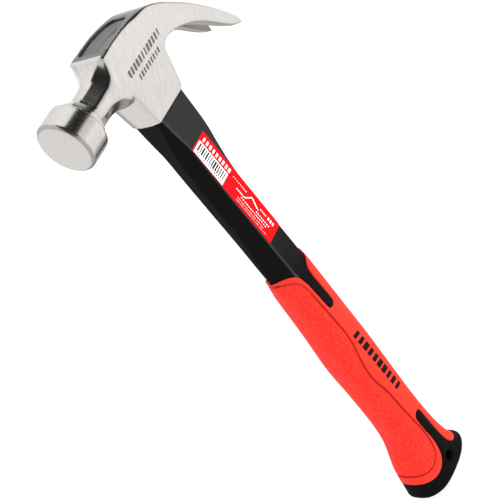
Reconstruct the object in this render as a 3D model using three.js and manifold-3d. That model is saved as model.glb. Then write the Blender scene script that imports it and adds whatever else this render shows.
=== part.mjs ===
// Claw hammer with a forged head, a jacketed fibreglass handle and a soft grip sleeve.
// Millimetres. +Z runs up the handle to the head, -X is the striking face, +X the claw,
// and the origin is at the middle of the butt's underside, where X and Y are centred.
import * as THREE from 'three';
import { mergeVertices } from 'three/addons/utils/BufferGeometryUtils.js';
import Module from 'manifold-3d';

// ---------------------------------------------------------------- driving dimensions
const OVERALL_LENGTH = 327; // butt to crown
const HEAD_LENGTH = 117; // striking face to claw tips
const HEAD_THICKNESS = 22; // across the cheeks
const CHEEK_FOOT_THICKNESS = 18.6; // across the cheeks where they meet the jacket
const BELL_DIAMETER = 28;
const NECK_WIDTH = 16.8; // flat to flat, at its thinnest
const CROWN_RISE = 15; // crown above the bell's axis
const CHEEK_DROP = 27.6; // foot of the cheeks below the bell's axis
const SHAFT_THICKNESS = 18; // handle between its two side facets
const GRIP_THICKNESS = 24;
const GAP = 0.3; // clearance kept between bonded neighbours

const FACE_X = -HEAD_LENGTH / 2;
const AXIS_Z = OVERALL_LENGTH - CROWN_RISE; // height of the bell's axis
const HANDLE_X = FACE_X + 50.6; // handle's centre line at the label
const FOOT_Z = AXIS_Z - CHEEK_DROP;
const CUT = 60; // long enough for a cutter to pass right through

// ---------------------------------------------------------------- booleans
const wasm = await Module();
wasm.setup();

/** Turns a closed three.js geometry into a solid that can be joined and cut. */
function solid(geometry) {
  const bare = geometry.clone();
  bare.deleteAttribute('normal');
  bare.deleteAttribute('uv');
  const merged = mergeVertices(bare, 1e-4);
  return new wasm.Manifold(new wasm.Mesh({
    numProp: 3,
    vertProperties: new Float32Array(merged.attributes.position.array),
    triVerts: new Uint32Array(merged.index.array),
  }));
}

/** Turns a solid back into a three.js geometry. */
function geometryOf(body) {
  const mesh = body.getMesh();
  const geometry = new THREE.BufferGeometry();
  geometry.setAttribute('position', new THREE.BufferAttribute(mesh.vertProperties, 3));
  geometry.setIndex(new THREE.BufferAttribute(mesh.triVerts, 1));
  geometry.computeVertexNormals();
  return geometry;
}

// ---------------------------------------------------------------- shape helpers
/** Point on the head: distance from the striking face, and height above the bell's axis. */
const onHead = (fromFace, aboveAxis) => new THREE.Vector2(FACE_X + fromFace, AXIS_Z + aboveAxis);

/** Extrudes an outline drawn in X and Z across Y, centred on Y = 0. */
function acrossY(outline, thickness, curveSegments = 10) {
  const slab = new THREE.ExtrudeGeometry(outline, { depth: thickness, bevelEnabled: false, curveSegments });
  return slab.rotateX(Math.PI / 2).translate(0, thickness / 2, 0);
}

/** Extrudes an outline drawn in X and Y upwards from one height to another. */
function upwards(outline, bottom, top, curveSegments = 8) {
  const prism = new THREE.ExtrudeGeometry(outline, { depth: top - bottom, bevelEnabled: false, curveSegments });
  return prism.translate(0, 0, bottom);
}

/** Extrudes a unit section along Z in steps, giving each step its own centre and half sizes. */
function loft(section, bottom, top, steps, sizeAt) {
  const prism = new THREE.ExtrudeGeometry(section, { depth: 1, steps, bevelEnabled: false });
  const position = prism.attributes.position;
  for (let i = 0; i < position.count; i++) {
    const along = THREE.MathUtils.lerp(bottom, top, position.getZ(i));
    const { centre, depth, width } = sizeAt(along);
    position.setXYZ(i, centre + position.getX(i) * depth, position.getY(i) * width, along);
  }
  return prism;
}

/** Unit section on a superellipse: power 2 is an ellipse, and a higher power is squarer. */
function roundSection(power, corners) {
  const points = [];
  for (let i = 0; i < corners; i++) {
    const angle = ((i + 0.5) / corners) * 2 * Math.PI;
    const across = Math.cos(angle);
    const up = Math.sin(angle);
    const radius = (Math.abs(across) ** power + Math.abs(up) ** power) ** (-1 / power);
    points.push(new THREE.Vector2(across * radius, up * radius));
  }
  return new THREE.Shape(points);
}

/** Unit section with eight flats; flatX and flatY are the half lengths of the flats on each side. */
function octagonSection(flatX, flatY) {
  const corners = [[1, -flatY], [1, flatY], [flatX, 1], [-flatX, 1], [-1, flatY], [-1, -flatY], [-flatX, -1], [flatX, -1]];
  return new THREE.Shape(corners.map(([x, y]) => new THREE.Vector2(x, y)));
}

/** Smooth value along a line of [place, value] stations, level at each station. */
function track(stations) {
  return (place) => {
    const next = stations.findIndex(([at]) => at >= place);
    if (next === 0) return stations[0][1];
    if (next < 0) return stations[stations.length - 1][1];
    const [fromPlace, fromValue] = stations[next - 1];
    const [toPlace, toValue] = stations[next];
    return THREE.MathUtils.lerp(fromValue, toValue, THREE.MathUtils.smoothstep(place, fromPlace, toPlace));
  };
}

/** Moves an outline's points outwards by a distance, or inwards when it is negative. */
function grow(points, distance) {
  const anticlockwise = THREE.ShapeUtils.area(points) > 0 ? 1 : -1;
  return points.map((point, i) => {
    const before = points[(i + points.length - 1) % points.length];
    const after = points[(i + 1) % points.length];
    const along = after.clone().sub(before).normalize();
    return new THREE.Vector2(point.x + anticlockwise * distance * along.y, point.y - anticlockwise * distance * along.x);
  });
}

// ---------------------------------------------------------------- head
const BELL_LENGTH = 13;
const BELL_BEVEL = 1.4;
const NECK_START = 12.5;
const NECK_WAIST = 25;
const NECK_END = 43;
const SHOULDER_FLARE = 55; // the neck widens by the square of the distance from its waist over this
const BODY_FLARE = 30;
const CROWN_FRONT = 39.2; // where the crown and cheeks begin behind the face
const EYE_FRONT = 43.5;
const EYE_LENGTH = 24;
const EYE_WIDTH = 15;
const EYE_MOUTH_DEPTH = 14; // the eye is longer above this depth, which locks the resin in
const CHEEK_FRONT = 41.4;
const CHEEK_BACK = 63;
const SOCKET_BULGE = 3.2; // how far the socket's front wall stands out in front of the cheeks
const SLOT_ROOT = 88;
const SLOT_MOUTH = 10.6; // width of the nail slot where the prongs' ends begin to slant
const PRONG_END = 4.5; // length of that slant

/** Striking bell: a cylinder with a bevelled face and a chamfered shoulder, turned about X. */
function bell() {
  const radius = BELL_DIAMETER / 2;
  const profile = [
    new THREE.Vector2(0, 0),
    new THREE.Vector2(radius - BELL_BEVEL, 0),
    new THREE.Vector2(radius, BELL_BEVEL),
    new THREE.Vector2(radius, BELL_LENGTH),
    new THREE.Vector2(radius - 3, BELL_LENGTH + 2),
    new THREE.Vector2(0, BELL_LENGTH + 2),
  ];
  return new THREE.LatheGeometry(profile, 48).rotateZ(-Math.PI / 2).translate(FACE_X, 0, AXIS_Z);
}

/** Octagonal neck, waisted between the bell and the body. */
function neck() {
  const flat = Math.tan(Math.PI / 8);
  const waisted = loft(octagonSection(flat, flat), NECK_START, NECK_END, 18, (place) => {
    const fromWaist = place - NECK_WAIST;
    const flare = fromWaist < 0 ? SHOULDER_FLARE : BODY_FLARE;
    const halfWidth = NECK_WIDTH / 2 + (fromWaist * fromWaist) / flare;
    return { centre: 0, depth: halfWidth, width: halfWidth };
  });
  return waisted.rotateY(Math.PI / 2).translate(FACE_X, 0, AXIS_Z);
}

/** Block that holds the neck's flare to the height of the crown and the width of the cheeks. */
function neckEnvelope() {
  const envelope = new THREE.BoxGeometry(CUT, HEAD_THICKNESS, CUT);
  return envelope.translate(FACE_X + NECK_START + CUT / 2 - 4, 0, AXIS_Z + CROWN_RISE - CUT / 2);
}

/** Side outline of the eye block and the claw, from the crown round to the throat. */
function clawOutline() {
  const crownFront = onHead(CROWN_FRONT, CROWN_RISE);
  const top = [[58, 13.9], [72, 11.4], [82, 7], [92, -1], [103, -13.4], [111, -24.6], [116.4, -33.4]];
  const under = [[112.4, -33.2], [105, -24.8], [96, -15.8], [86, -9.6], [77, -6.8], [71.4, -7.6]];
  const outline = new THREE.Shape();
  outline.moveTo(crownFront.x, crownFront.y);
  outline.splineThru(top.map(([x, z]) => onHead(x, z)));
  const tip = onHead(HEAD_LENGTH, -35.6);
  outline.lineTo(tip.x, tip.y);
  outline.splineThru(under.map(([x, z]) => onHead(x, z)));
  const throat = onHead(67.6, -13);
  outline.lineTo(throat.x, throat.y);
  const blockFront = onHead(CROWN_FRONT, -13);
  outline.lineTo(blockFront.x, blockFront.y);
  return outline;
}

/** Side outline of the cheeks, which run down to a straight foot over the jacket. */
function cheekOutline() {
  const corners = [
    [CROWN_FRONT, 0], [CHEEK_FRONT, -CHEEK_DROP], [CHEEK_BACK, -CHEEK_DROP], [66, -25.6], [69.4, -8], [69.4, 0],
  ];
  return new THREE.Shape(corners.map(([x, z]) => onHead(x, z)));
}

/** Front outline of the cheeks, drawn in Y and Z: they draw in towards the handle. */
function draftOutline() {
  const top = HEAD_THICKNESS / 2;
  const foot = CHEEK_FOOT_THICKNESS / 2;
  return new THREE.Shape([
    new THREE.Vector2(-foot, FOOT_Z), new THREE.Vector2(foot, FOOT_Z),
    new THREE.Vector2(top, AXIS_Z), new THREE.Vector2(-top, AXIS_Z),
  ]);
}

/** Extrudes an outline drawn in Y and Z along X, over the length of the cheeks. */
function alongX(outline) {
  const prism = new THREE.ExtrudeGeometry(outline, { depth: CUT, bevelEnabled: false });
  return prism.rotateX(Math.PI / 2).rotateZ(Math.PI / 2).translate(FACE_X + 20, 0, 0);
}

/** Rounded front wall of the socket, under the neck. */
function socketFront() {
  const half = CHEEK_FOOT_THICKNESS / 2;
  const outline = new THREE.Shape();
  outline.moveTo(FACE_X + 50, -half);
  outline.lineTo(FACE_X + 50, half);
  outline.lineTo(FACE_X + CHEEK_FRONT, half);
  outline.quadraticCurveTo(FACE_X + CHEEK_FRONT - 2 * SOCKET_BULGE, 0, FACE_X + CHEEK_FRONT, -half);
  return upwards(outline, FOOT_Z, AXIS_Z);
}

/** Plan outline of the eye, squarer at its front end and narrower towards the claw. */
function eyeOutline(length, inset = 0) {
  const front = FACE_X + EYE_FRONT + inset;
  const back = FACE_X + EYE_FRONT + length - inset;
  const half = EYE_WIDTH / 2 - inset;
  const corner = 2.4;
  const backHalf = half * 0.62;
  return new THREE.Shape([
    new THREE.Vector2(front + corner, -half), new THREE.Vector2(back - 2 * corner, -half),
    new THREE.Vector2(back - corner / 2, -backHalf - 0.6), new THREE.Vector2(back, -backHalf + 1),
    new THREE.Vector2(back, backHalf - 1), new THREE.Vector2(back - corner / 2, backHalf + 0.6),
    new THREE.Vector2(back - 2 * corner, half), new THREE.Vector2(front + corner, half),
    new THREE.Vector2(front, half - corner), new THREE.Vector2(front, corner - half),
  ]);
}

/** Volume of the eye: a straight hole with a longer mouth at the crown. */
function eye(bottom, top, inset = 0) {
  const straight = solid(upwards(eyeOutline(EYE_LENGTH - 6, inset), bottom, top));
  const mouthBottom = AXIS_Z + CROWN_RISE - EYE_MOUTH_DEPTH + inset;
  return straight.add(solid(upwards(eyeOutline(EYE_LENGTH, inset), mouthBottom, top)));
}

/** Tapered nail slot between the two prongs, with a rounded root and slanted prong ends. */
function nailSlot() {
  const outline = new THREE.Shape();
  const rootRadius = 1;
  outline.moveTo(FACE_X + SLOT_ROOT, -rootRadius);
  outline.lineTo(FACE_X + HEAD_LENGTH - PRONG_END, -SLOT_MOUTH / 2);
  outline.lineTo(FACE_X + HEAD_LENGTH + 1, -HEAD_THICKNESS / 2);
  outline.lineTo(FACE_X + HEAD_LENGTH + 1, HEAD_THICKNESS / 2);
  outline.lineTo(FACE_X + HEAD_LENGTH - PRONG_END, SLOT_MOUTH / 2);
  outline.lineTo(FACE_X + SLOT_ROOT, rootRadius);
  outline.absarc(FACE_X + SLOT_ROOT, 0, rootRadius, Math.PI / 2, 1.5 * Math.PI, false);
  return upwards(outline, AXIS_Z - CUT, AXIS_Z + CUT);
}

function hammerHead() {
  const cheeks = solid(acrossY(cheekOutline(), HEAD_THICKNESS)).intersect(solid(alongX(draftOutline())));
  const body = solid(acrossY(clawOutline(), HEAD_THICKNESS)).add(cheeks).add(solid(socketFront()));
  const striker = solid(bell()).add(solid(neck()).intersect(solid(neckEnvelope())));
  const eyeHole = eye(FOOT_Z - 2, AXIS_Z + CROWN_RISE + 2);
  return body.add(striker).subtract(eyeHole).subtract(solid(nailSlot()));
}

// ---------------------------------------------------------------- handle
const GRIP_SECTION = roundSection(2.7, 28);
const SHAFT_SECTION = octagonSection(0.56, 0.4);
const GRIP_START = 168; // height above the butt where the sleeve takes over from the bare shaft
const COLLAR_LENGTH = 22;
const SHAFT_TOP = FOOT_Z - GAP;
const SLEEVE_WALL = 2.6;
const HOLE_DIAMETER = 6.5;
const HOLE_HEIGHT = 11.2;
const HOLE_X = FACE_X + 44;

// Distances of the handle's front and back behind the striking face, by height above the butt.
const shaftFront = track([[GRIP_START - 8, 37.6], [205, 39.3], [SHAFT_TOP, 40]]);
const shaftBack = track([[GRIP_START - 8, 62], [205, 61.9], [SHAFT_TOP - 2 * COLLAR_LENGTH, 62.2], [SHAFT_TOP - COLLAR_LENGTH, 66.4]]);
const gripFront = track([
  [0, 16], [12, 15.6], [44, 29.4], [60, 31], [104, 31.6], [132, 34.4], [160, 36.4], [190, 38.6],
]);
const gripBack = track([
  [4, 67.2], [32, 58.6], [46, 58], [62, 58.4], [110, 60.6], [160, 61.6], [190, 62],
]);
const gripHalfWidth = track([[0, 12.4], [5, 13], [60, GRIP_THICKNESS / 2 - 0.4], [110, GRIP_THICKNESS / 2], [190, 9.4]]);

/** Centre and half sizes of a section between a front and a back line. */
function between(front, back, halfWidth, inset = 0) {
  return { centre: FACE_X + (front + back) / 2, depth: (back - front) / 2 - inset, width: halfWidth - inset };
}

/** Octagonal shaft between the grip and the head. */
function shaft(bottom) {
  return loft(SHAFT_SECTION, bottom, SHAFT_TOP, 12, (height) => {
    return between(shaftFront(height), shaftBack(height), SHAFT_THICKNESS / 2);
  });
}

/** Collar that widens the side facets to the cheeks' full length where the jacket meets the head. */
function collar() {
  const bottom = SHAFT_TOP - 2 * COLLAR_LENGTH;
  const front = track([[SHAFT_TOP - COLLAR_LENGTH, 45.6], [SHAFT_TOP - 4, CHEEK_FRONT]]);
  const back = track([[bottom, 57.4], [SHAFT_TOP - COLLAR_LENGTH + 4, CHEEK_BACK - 0.6]]);
  return loft(roundSection(12, 20), bottom, SHAFT_TOP, 8, (height) => {
    return between(front(height), back(height), SHAFT_THICKNESS / 2);
  });
}

/** Outer surface that the grip sleeve and the black lands share, or one set in from it. */
function gripBody(bottom, top, inset = 0) {
  return loft(GRIP_SECTION, bottom, top, 24, (height) => {
    return between(gripFront(height), gripBack(height), gripHalfWidth(height), inset);
  });
}

/** Underside of the butt: nearly level at the back and swept up towards the front. */
function buttTrim() {
  const outline = new THREE.Shape();
  outline.moveTo(FACE_X + 80, OVERALL_LENGTH);
  outline.lineTo(FACE_X + 80, 3);
  outline.quadraticCurveTo(FACE_X + 68, -1, FACE_X + 52, 0);
  outline.bezierCurveTo(FACE_X + 36, 1, FACE_X + 20, 1, FACE_X + 12, 19);
  outline.lineTo(FACE_X - 4, OVERALL_LENGTH);
  return acrossY(outline, CUT);
}

/** Side outline of the grip sleeve, with a tongue-shaped window at each end. */
function sleeveOutline() {
  const at = (x, height) => [FACE_X + x, height];
  const outline = new THREE.Shape();
  outline.moveTo(...at(0, 186));
  outline.lineTo(...at(30, 182));
  outline.bezierCurveTo(...at(36, 178), ...at(46, 175), ...at(46.2, 164));
  outline.absarc(FACE_X + 49.5, 145, 2.9, Math.PI, 2 * Math.PI, false);
  outline.lineTo(...at(52.4, 164));
  outline.bezierCurveTo(...at(52.4, 175), ...at(57, 178), ...at(62, 183));
  outline.lineTo(...at(90, 185));
  outline.lineTo(...at(90, 11));
  outline.lineTo(...at(60, 10.6));
  outline.bezierCurveTo(...at(53, 10.6), ...at(50, 16), ...at(50, 25));
  outline.absarc(FACE_X + 46.7, 46, 3.3, 0, Math.PI, false);
  outline.lineTo(...at(43.4, 29));
  outline.bezierCurveTo(...at(43, 10), ...at(29, 7), ...at(14, 23));
  outline.lineTo(...at(0, 39));
  return outline;
}

/** Prism over the sleeve's side outline, moved outwards by a distance. */
function sleeveRegion(distance = 0) {
  const points = sleeveOutline().getPoints(6);
  return acrossY(new THREE.Shape(grow(points, distance)), CUT);
}

const lanyardHole = () => {
  const bore = new THREE.CylinderGeometry(HOLE_DIAMETER / 2, HOLE_DIAMETER / 2, CUT, 24);
  return bore.translate(HOLE_X, 0, HOLE_HEIGHT);
};

// ---------------------------------------------------------------- core and resin
const CORE_BOTTOM = 24;
const CORE_TOP = AXIS_Z + 4;
const CORE_SECTION = roundSection(3, 20);
const coreCentre = track([[CORE_BOTTOM, FACE_X + 45.4], [SHAFT_TOP - 40, HANDLE_X], [CORE_TOP, HANDLE_X + 1.6]]);

/** Pultruded fibreglass rod that runs from the eye nearly to the butt. */
function core(bottom, top, inset = 0) {
  return loft(CORE_SECTION, bottom, top, 12, (height) => {
    return { centre: coreCentre(height), depth: 6.6 - inset, width: 5.4 - inset };
  });
}

function handleJacket() {
  const outer = solid(gripBody(0, 190)).intersect(solid(buttTrim()));
  const lands = outer.subtract(solid(sleeveRegion(GAP)));
  const underGrip = solid(gripBody(14, 184, SLEEVE_WALL + GAP));
  const joined = lands.add(underGrip).add(solid(shaft(GRIP_START))).add(solid(collar()));
  return joined.subtract(solid(core(CORE_BOTTOM - GAP, SHAFT_TOP + 5, -GAP))).subtract(solid(lanyardHole()));
}

function gripSleeve() {
  const outer = solid(gripBody(0, 190)).intersect(solid(buttTrim())).intersect(solid(sleeveRegion()));
  const shaftRoom = solid(loft(SHAFT_SECTION, GRIP_START - GAP, 200, 4, (height) => {
    return between(shaftFront(height), shaftBack(height), SHAFT_THICKNESS / 2, -GAP);
  }));
  return outer.subtract(solid(gripBody(13, 190, SLEEVE_WALL))).subtract(shaftRoom);
}

/** Epoxy that fills the eye round the core, with a dished top just below the crown. */
function eyeResin() {
  const fill = eye(FOOT_Z, AXIS_Z + CROWN_RISE - 2.6, GAP);
  const dish = new THREE.SphereGeometry(40, 32, 24).scale(1, 0.6, 1);
  dish.translate(FACE_X + EYE_FRONT + EYE_LENGTH / 2 - 1, 0, AXIS_Z + CROWN_RISE + 36);
  return fill.subtract(solid(dish)).subtract(solid(core(FOOT_Z - 5, CORE_TOP + GAP, -GAP)));
}

// ---------------------------------------------------------------- label
const LABEL_LENGTH = 66.4;
const LABEL_WIDTH = 12.4;
const LABEL_THICKNESS = 0.3;

/** Thin film on the near side facet. */
function sideLabel() {
  const film = new THREE.BoxGeometry(LABEL_WIDTH, LABEL_THICKNESS, LABEL_LENGTH);
  const side = -(SHAFT_THICKNESS + LABEL_THICKNESS) / 2 - GAP;
  return film.translate(FACE_X + 51.6, side, AXIS_Z - 49.4 - LABEL_LENGTH / 2);
}

// ---------------------------------------------------------------- assembly
const part = new THREE.Group();

/** Adds one named piece with its finish. */
function piece(name, geometry, color, roughness, metalness = 0) {
  const mesh = new THREE.Mesh(geometry, new THREE.MeshStandardMaterial({ color, roughness, metalness }));
  mesh.name = name;
  part.add(mesh);
}

piece('hammer_head', geometryOf(hammerHead()), 0xd6d3ce, 0.35, 1);
piece('eye_resin', geometryOf(eyeResin()), 0x53565a, 0.45);
piece('fibreglass_core', mergeVertices(core(CORE_BOTTOM, CORE_TOP)), 0xd8c77a, 0.5);
piece('handle_jacket', geometryOf(handleJacket()), 0x2c2c2c, 0.5);
piece('grip_sleeve', geometryOf(gripSleeve()), 0xf5352b, 0.75);
piece('side_label', sideLabel(), 0xf01e23, 0.4);

export default part;
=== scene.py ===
"""Claw hammer with a forged steel head on a jacketed fibreglass handle.

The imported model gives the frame: metres, +Z up the handle, -X out of the striking face and +X
towards the claw. Shapes are worked out in millimetres: x behind the striking face, y across the
head, and z above the bell's axis on the head or above the butt on the handle.
"""

import sys

import logging
import math
from dataclasses import dataclass
from enum import Enum
from typing import Callable

import bpy
import numpy as np
from mathutils import Matrix, Vector


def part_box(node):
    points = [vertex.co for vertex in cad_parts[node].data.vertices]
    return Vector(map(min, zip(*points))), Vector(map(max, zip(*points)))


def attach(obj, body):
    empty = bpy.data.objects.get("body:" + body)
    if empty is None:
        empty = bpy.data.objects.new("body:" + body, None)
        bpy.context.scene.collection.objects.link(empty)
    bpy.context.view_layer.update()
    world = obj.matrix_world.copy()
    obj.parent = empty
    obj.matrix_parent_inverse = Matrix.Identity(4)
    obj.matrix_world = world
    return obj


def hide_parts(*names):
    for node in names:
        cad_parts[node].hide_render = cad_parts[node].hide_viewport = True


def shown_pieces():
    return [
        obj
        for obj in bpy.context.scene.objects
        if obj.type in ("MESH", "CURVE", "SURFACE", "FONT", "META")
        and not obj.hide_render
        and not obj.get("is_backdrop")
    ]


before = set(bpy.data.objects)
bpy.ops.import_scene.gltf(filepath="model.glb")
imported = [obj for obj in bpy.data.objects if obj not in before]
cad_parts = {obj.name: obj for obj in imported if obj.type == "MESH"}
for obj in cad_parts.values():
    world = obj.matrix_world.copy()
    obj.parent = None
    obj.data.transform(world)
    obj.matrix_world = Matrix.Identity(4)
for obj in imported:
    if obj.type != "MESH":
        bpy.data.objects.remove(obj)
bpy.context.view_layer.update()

LOG = logging.getLogger("hammer")
Field = Callable[[np.ndarray, np.ndarray, np.ndarray], np.ndarray]
DepthAt = Callable[[np.ndarray, np.ndarray], np.ndarray]

MM = 0.001
FACE_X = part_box("hammer_head")[0][0] / MM
CROWN_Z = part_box("hammer_head")[1][2] / MM
CROWN_RISE = 15.0
AXIS_Z = CROWN_Z - CROWN_RISE
ROOT_BODY = "root"
ARC_POINTS = 9
CELL_CORNERS = [(i, j, k) for i in (0, 1) for j in (0, 1) for k in (0, 1)]


# ---------------------------------------------------------------- solids as distance fields
def both(first: np.ndarray, second: np.ndarray, soft: float | np.ndarray = 0.01) -> np.ndarray:
    """Overlap of two solids, with the edge between them rounded.

    Args:
        first: Distance field of the first solid, in millimetres, negative inside.
        second: Distance field of the second solid.
        soft: How far from the edge the rounding starts.

    Returns:
        The distance field of the overlap.
    """
    rounding = np.maximum(soft - np.abs(first - second), 0.0) ** 2 / (4.0 * soft)
    return np.maximum(first, second) + rounding


def either(first: np.ndarray, second: np.ndarray, soft: float | np.ndarray = 0.01) -> np.ndarray:
    """Two solids joined, with a fillet along the seam. Takes and gives what `both` does."""
    return -both(-first, -second, soft)


def without(solid: np.ndarray, cutter: np.ndarray, soft: float | np.ndarray = 0.01) -> np.ndarray:
    """A solid with another one cut away, and the cut's edge rounded. Takes and gives what `both` does."""
    return both(solid, -cutter, soft)


def outline_distance(outline: np.ndarray, u: np.ndarray, v: np.ndarray) -> np.ndarray:
    """Distance to a closed outline, negative inside it.

    Args:
        outline: Corners of the outline, one row each.
        u: First coordinate of the points to measure from.
        v: Second coordinate of those points.

    Returns:
        The distance of every point.
    """
    shape = np.broadcast_shapes(np.shape(u), np.shape(v))
    nearest = np.full(shape, np.inf)
    inside = np.zeros(shape, dtype=bool)
    for (u0, v0), (u1, v1) in zip(outline, np.roll(outline, -1, axis=0)):
        du, dv = u1 - u0, v1 - v0
        along = np.clip(((u - u0) * du + (v - v0) * dv) / (du * du + dv * dv), 0.0, 1.0)
        nearest = np.minimum(nearest, (u - u0 - along * du) ** 2 + (v - v0 - along * dv) ** 2)
        if dv:
            inside = inside ^ (((v0 > v) != (v1 > v)) & (u < u0 + (v - v0) * du / dv))
    return np.where(inside, -1.0, 1.0) * np.sqrt(nearest)


def path_distance(path: np.ndarray, u: np.ndarray, v: np.ndarray) -> np.ndarray:
    """Distance to an open path.

    Args:
        path: Points along the path, one row each.
        u: First coordinate of the points to measure from.
        v: Second coordinate of those points.

    Returns:
        The distance of every point.
    """
    nearest = np.full(np.broadcast_shapes(np.shape(u), np.shape(v)), np.inf)
    for (u0, v0), (u1, v1) in zip(path[:-1], path[1:]):
        du, dv = u1 - u0, v1 - v0
        along = np.clip(((u - u0) * du + (v - v0) * dv) / (du * du + dv * dv), 0.0, 1.0)
        nearest = np.minimum(nearest, (u - u0 - along * du) ** 2 + (v - v0 - along * dv) ** 2)
    return np.sqrt(nearest)


def smooth_path(stations: list[tuple[float, float]], steps: int = 4) -> np.ndarray:
    """Smooth line through a few stations, as a Catmull-Rom spline.

    Args:
        stations: Points that the line passes through.
        steps: Straight pieces between one station and the next.

    Returns:
        Points along the line, one row each.
    """
    given = np.array(stations, dtype=float)
    ends = np.vstack([2 * given[0] - given[1], given, 2 * given[-1] - given[-2]])
    points = []
    for before, start, end, after in zip(ends[:-3], ends[1:-2], ends[2:-1], ends[3:]):
        for t in np.arange(steps) / steps:
            points.append(
                start
                + 0.5 * t * (end - before)
                + t * t * (before - 2.5 * start + 2 * end - 0.5 * after)
                + 0.5 * t**3 * (after - before + 3 * (start - end))
            )
    return np.vstack([points, given[-1]])


def track(stations: list[tuple[float, float]], place: np.ndarray) -> np.ndarray:
    """Smooth value along a line of (place, value) stations.

    Args:
        stations: Places in rising order, each with its value.
        place: Where the values are wanted.

    Returns:
        The value at each place, held level beyond the ends.
    """
    line = smooth_path(stations, 6)
    return np.interp(place, line[:, 0], line[:, 1])


def half_turn(x: float, z: float, radius: float, start: float, end: float) -> list[tuple[float, float]]:
    """Points round an arc.

    Args:
        x: First coordinate of its centre.
        z: Second coordinate of its centre.
        radius: Its radius.
        start: Angle where it starts, in degrees.
        end: Angle where it ends.

    Returns:
        The points in order.
    """
    turns = np.radians(np.linspace(start, end, ARC_POINTS))
    return [(x + radius * math.cos(t), z + radius * math.sin(t)) for t in turns]


def ramp(value: np.ndarray, start: float, end: float) -> np.ndarray:
    """Straight rise from 0 at one value to 1 at another, held level beyond them.

    Args:
        value: The values to read it at.
        start: Value where it is 0.
        end: Value where it is 1, above or below the start.

    Returns:
        Values from 0 to 1.
    """
    return np.clip((value - start) / (end - start), 0.0, 1.0)


def cell_points(values: np.ndarray, cells: np.ndarray) -> np.ndarray:
    """Mean of the places where a surface crosses the edges of each cell.

    Args:
        values: The distance field at every grid point.
        cells: The cells that the surface passes through, one row each.

    Returns:
        One point for each cell, in cells from the grid's lowest corner.
    """
    total = np.zeros((len(cells), 3))
    hits = np.zeros(len(cells))
    for corner in CELL_CORNERS:
        for axis in range(3):
            if corner[axis]:
                continue
            end = np.array(corner)
            end[axis] = 1
            here = values[tuple((cells + corner).T)]
            there = values[tuple((cells + end).T)]
            crosses = (here < 0.0) != (there < 0.0)
            share = np.where(crosses, here / np.where(crosses, here - there, 1.0), 0.0)
            point = np.tile(np.array(corner, dtype=float), (len(cells), 1))
            point[:, axis] += share
            total += np.where(crosses[:, None], point, 0.0)
            hits += crosses
    return cells + total / hits[:, None]


def crossing_quads(solid: np.ndarray, number: np.ndarray) -> np.ndarray:
    """Quads across every grid edge that a surface crosses.

    Args:
        solid: Whether each grid point is inside the solid.
        number: Number of each cell's point.

    Returns:
        The quads, which face outwards.
    """
    quads = []
    for axis in range(3):
        side, up = (axis + 1) % 3, (axis + 2) % 3
        edges = np.argwhere(solid != np.roll(solid, -1, axis=axis))
        edges = edges[(edges < number.shape).all(axis=1) & (edges[:, side] > 0) & (edges[:, up] > 0)]
        ring = []
        for side_back, up_back in ((1, 1), (0, 1), (0, 0), (1, 0)):
            cell = edges.copy()
            cell[:, side] -= side_back
            cell[:, up] -= up_back
            ring.append(number[tuple(cell.T)])
        quad = np.stack(ring, axis=1)
        outwards = solid[tuple(edges.T)]
        quads.append(np.where(outwards[:, None], quad, quad[:, ::-1]))
    return np.vstack(quads)


def surface_of(
    field: Field, low: np.ndarray, high: np.ndarray, step: float
) -> tuple[np.ndarray, np.ndarray]:
    """Closed surface of a distance field, as evenly sized quads (surface nets).

    Args:
        field: The solid's distance field.
        low: Lowest corner of the box to search, clear of the solid.
        high: Highest corner of that box.
        step: Side of a grid cell.

    Returns:
        The points and the quads, which face outwards.
    """
    counts = np.ceil((high - low) / step).astype(int) + 1
    axes = [low[i] + step * np.arange(counts[i]) for i in range(3)]
    values = np.broadcast_to(field(*np.meshgrid(*axes, indexing="ij", sparse=True)), counts)
    solid = values < 0.0
    wide, deep, tall = counts - 1
    filled = sum(
        solid[i : i + wide, j : j + deep, k : k + tall].astype(np.int8) for i, j, k in CELL_CORNERS
    )
    cells = np.argwhere((filled > 0) & (filled < len(CELL_CORNERS)))
    number = np.full((wide, deep, tall), -1)
    number[tuple(cells.T)] = np.arange(len(cells))
    points = low + cell_points(values, cells) * step
    return settle(points, field, step), crossing_quads(solid, number)


def settle(points: np.ndarray, field: Field, step: float) -> np.ndarray:
    """Moves points that are near a field's surface exactly on to it.

    Args:
        points: The points, one row each.
        field: The solid's distance field.
        step: Side of a grid cell, which limits each move.

    Returns:
        The moved points.
    """
    reach = 0.05
    least_slope = 0.05
    for _ in range(2):
        slope = np.empty_like(points)
        for axis in range(3):
            ahead, behind = points.copy(), points.copy()
            ahead[:, axis] += reach
            behind[:, axis] -= reach
            slope[:, axis] = (field(*ahead.T) - field(*behind.T)) / (2 * reach)
        size = np.maximum((slope**2).sum(axis=1), least_slope)
        move = np.clip(field(*points.T) / size, -step / 2, step / 2)
        points = points - move[:, None] * slope
    return points


# ---------------------------------------------------------------- Blender helpers
def linear(hex_colour: str) -> tuple[float, float, float, float]:
    """Linear colour of an sRGB hex value such as "#D8D5D0"."""
    channels = [int(hex_colour[i : i + 2], 16) / 255 for i in (1, 3, 5)]
    bent = [c / 12.92 if c <= 0.04045 else ((c + 0.055) / 1.055) ** 2.4 for c in channels]
    return (bent[0], bent[1], bent[2], 1.0)


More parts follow.
